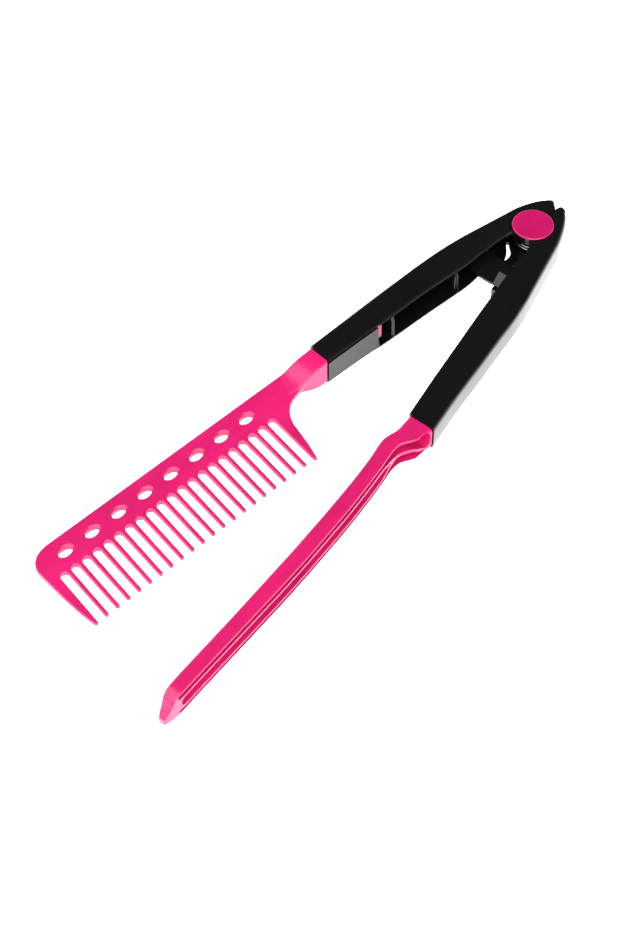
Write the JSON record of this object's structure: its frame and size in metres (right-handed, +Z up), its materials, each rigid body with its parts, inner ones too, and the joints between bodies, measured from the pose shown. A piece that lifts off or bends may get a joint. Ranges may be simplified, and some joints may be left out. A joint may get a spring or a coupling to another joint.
{
  "type": "hair straightening comb",
  "caption": "V-shaped hair straightening clip comb with sprung black handles on a pivot, a pink wide-tooth comb on one arm and a pink slotted clamp blade on the other.",
  "frame": {"origin": "centre of the open comb's box, on the surface that it lies on", "axes": "+X along the comb from the free ends to the pivot, +Y across it from the clamp arm to the comb arm, +Z up along the pivot's axis"},
  "size_m": [0.2518, 0.073, 0.0119],
  "materials": {
    "black_plastic": "glossy moulded black",
    "pink_plastic": "semi-gloss moulded hot pink",
    "cap_plastic": "glossy moulded deep pink",
    "spring_steel": "bright drawn wire"
  },
  "bodies": {
    "comb_arm": {"comb_handle": "black_plastic", "comb": "pink_plastic", "pivot_pin": "spring_steel", "pivot_cap": "cap_plastic", "spring_fixed_coil": "spring_steel"},
    "clamp_arm": {"clamp_handle": "black_plastic", "clamp_blade": "pink_plastic", "spring_moving_coil": "spring_steel"}
  },
  "joints": [
    {"name": "squeeze", "type": "hinge", "parent": "comb_arm", "child": "clamp_arm", "pos_m": [0.1102, -0.00281, 0.0054], "axis": [0, 0, -1], "range_deg": [0, 16], "stiffness_Nm_per_rad": 0.5, "springref_deg": -28.65}
  ]
}
